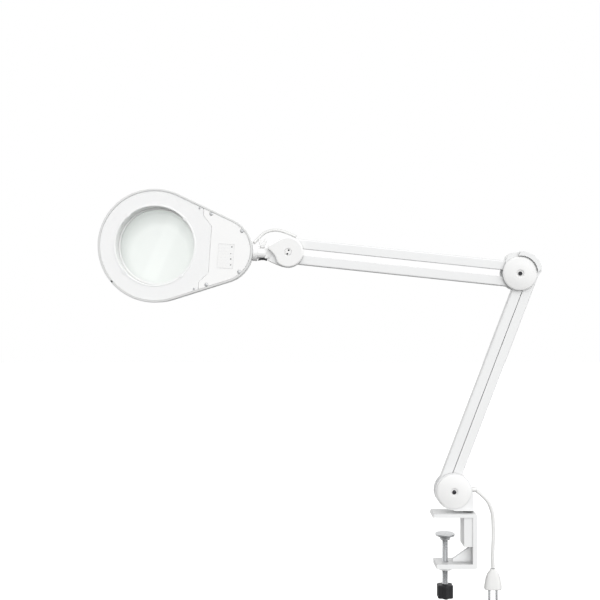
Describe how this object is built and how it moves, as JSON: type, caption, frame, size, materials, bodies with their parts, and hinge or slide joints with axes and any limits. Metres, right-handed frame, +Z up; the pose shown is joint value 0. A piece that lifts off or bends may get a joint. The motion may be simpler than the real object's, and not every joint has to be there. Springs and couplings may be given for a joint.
{
  "type": "magnifying lamp",
  "caption": "Ring-lit magnifying lamp on a sprung twin-bar arm, with a tilting and rolling head and a table-edge clamp",
  "frame": {"origin": "on the clamp screw's axis, on the underside of the clamp's top jaw, where the table top is gripped", "axes": "+Z up, away from the table; +X from the lamp head towards the elbow; +Y away from the side the lens faces in this pose"},
  "size_m": [0.7265, 0.0464, 0.6783],
  "materials": {
    "white_paint": "smooth satin white powder coat",
    "white_plastic": "white moulded plastic, soft gloss",
    "frosted_diffuser": "frosted translucent white",
    "lens_glass": "clear polished glass, faint green",
    "white_cable": "soft white PVC",
    "black_plastic": "black moulded plastic",
    "steel": "zinc-plated steel",
    "dark_steel": "blackened steel",
    "spring_steel": "drawn spring wire",
    "circuit_board": "solder-masked board"
  },
  "bodies": {
    "clamp": {"clamp_frame": "white_paint", "swivel_bush": "black_plastic"},
    "clamp_pad": {"clamp_pad": "steel"},
    "clamp_screw": {"clamp_screw": "steel", "clamp_knob": "black_plastic"},
    "base": {"swivel_pin": "steel", "base_bracket": "white_paint", "base_cap_front": "white_plastic", "base_cap_rear": "white_plastic", "base_bolt": "dark_steel", "base_nut": "dark_steel", "base_pivot_left": "steel", "base_pivot_right": "steel", "power_cord": "white_cable", "power_plug": "white_cable"},
    "lower_bar_left": {"lower_bar_left": "white_paint", "lower_spring_left": "spring_steel"},
    "lower_bar_right": {"lower_bar_right": "white_paint", "lower_spring_right": "spring_steel", "lower_arm_cable": "white_cable"},
    "elbow": {"elbow_bracket": "white_paint", "elbow_cap_front": "white_plastic", "elbow_cap_rear": "white_plastic", "elbow_bolt": "dark_steel", "elbow_nut": "dark_steel", "elbow_pivot_lower_left": "steel", "elbow_pivot_lower_right": "steel", "elbow_pivot_upper_bottom": "steel", "elbow_pivot_upper_top": "steel"},
    "upper_bar_top": {"upper_bar_top": "white_paint", "upper_spring_top": "spring_steel", "upper_arm_cable": "white_cable"},
    "upper_bar_bottom": {"upper_bar_bottom": "white_paint", "upper_spring_bottom": "spring_steel"},
    "head_bracket": {"head_bracket": "white_paint", "head_cap_front": "white_plastic", "head_cap_rear": "white_plastic", "tilt_bolt": "dark_steel", "tilt_nut": "dark_steel", "head_pivot_top": "steel", "head_pivot_bottom": "steel", "head_cable": "white_cable"},
    "knuckle": {"tilt_knuckle": "white_paint", "knuckle_pad": "black_plastic"},
    "wing_screw": {"wing_screw": "white_plastic"},
    "head": {"head_stem": "white_paint", "head_shell": "white_plastic", "led_board": "circuit_board", "diffuser": "frosted_diffuser", "lens": "lens_glass", "lens_ring": "white_plastic", "driver_board": "circuit_board", "driver_cover": "white_plastic", "cover_screw_1": "steel", "cover_screw_2": "steel", "cover_screw_3": "steel", "cover_screw_4": "steel", "lid_pin": "steel"},
    "lens_lid": {"lens_lid": "white_plastic"},
    "switch": {"rocker_switch": "black_plastic"}
  },
  "joints": [
    {"name": "pad_travel", "type": "slide", "parent": "clamp", "child": "clamp_pad", "axis": [0, 0, 1], "range_m": [-0.03, 0.024]},
    {"name": "clamp_turn", "type": "hinge", "parent": "clamp_pad", "child": "clamp_screw", "pos_m": [0, 0, -0.06], "axis": [0, 0, 1], "range_deg": [-5418, 4338]},
    {"name": "base_swivel", "type": "hinge", "parent": "clamp", "child": "base", "pos_m": [0.038, 0, 0], "axis": [0, 0, 1], "range_deg": [-135, 135]},
    {"name": "lower_fold", "type": "hinge", "parent": "base", "child": "lower_bar_left", "pos_m": [-0.00577, 0, 0.0484], "axis": [0, 1, 0], "range_deg": [-104, 1], "stiffness_Nm_per_rad": 20, "springref_deg": 8.04},
    {"name": "lower_fold_right", "type": "hinge", "parent": "base", "child": "lower_bar_right", "pos_m": [0.01717, 0, 0.0626], "axis": [0, 1, 0], "range_deg": [-104.5, 1.5], "stiffness_Nm_per_rad": 2, "springref_deg": -3.35},
    {"name": "elbow_level", "type": "hinge", "parent": "lower_bar_left", "child": "elbow", "pos_m": [0.12337, 0, 0.3861], "axis": [0, 1, 0], "range_deg": [-1.5, 104.5], "stiffness_Nm_per_rad": 20, "springref_deg": 12.96},
    {"name": "upper_fold", "type": "hinge", "parent": "elbow", "child": "upper_bar_top", "pos_m": [0.10155, 0, 0.412], "axis": [0, 1, 0], "range_deg": [-59, 46], "stiffness_Nm_per_rad": 12, "springref_deg": 18.97},
    {"name": "upper_fold_bottom", "type": "hinge", "parent": "elbow", "child": "upper_bar_bottom", "pos_m": [0.10155, 0, 0.385], "axis": [0, 1, 0], "range_deg": [-59.5, 46.5], "stiffness_Nm_per_rad": 2, "springref_deg": 9.13},
    {"name": "head_level", "type": "hinge", "parent": "upper_bar_top", "child": "head_bracket", "pos_m": [-0.247, 0, 0.4486], "axis": [0, 1, 0], "range_deg": [-46.5, 59.5], "stiffness_Nm_per_rad": 12, "springref_deg": 5.29},
    {"name": "head_tilt", "type": "hinge", "parent": "head_bracket", "child": "knuckle", "pos_m": [-0.259, 0, 0.4335], "axis": [0, 1, 0], "range_deg": [-55, 55], "stiffness_Nm_per_rad": 6, "springref_deg": 9.74, "deforming": ["head_cable"]},
    {"name": "wing_turn", "type": "hinge", "parent": "knuckle", "child": "wing_screw", "pos_m": [-0.30252, 0, 0.43183], "axis": [0.0698, 0, 0.9976], "range_deg": [-90, 270]},
    {"name": "head_roll", "type": "hinge", "parent": "knuckle", "child": "head", "pos_m": [-0.30252, 0, 0.43183], "axis": [0.9976, 0, -0.0698], "range_deg": [-90, 180]},
    {"name": "lid_open", "type": "hinge", "parent": "head", "child": "lens_lid", "pos_m": [-0.40378, 0.0226, 0.43891], "axis": [-0.0698, 0, -0.9976], "range_deg": [0, 110]},
    {"name": "switch_rock", "type": "hinge", "parent": "head", "child": "switch", "pos_m": [-0.36088, 0.017, 0.43591], "axis": [-0.0698, 0, -0.9976], "range_deg": [0, 14]}
  ],
  "couplings": [
    {"joint": "clamp_turn", "follows": "pad_travel", "rad_per_m": 3141.6},
    {"joint": "lower_fold_right", "follows": "lower_fold", "ratio": 1},
    {"joint": "elbow_level", "follows": "lower_fold", "ratio": -1},
    {"joint": "upper_fold_bottom", "follows": "upper_fold", "ratio": 1},
    {"joint": "head_level", "follows": "upper_fold", "ratio": -1}
  ]
}
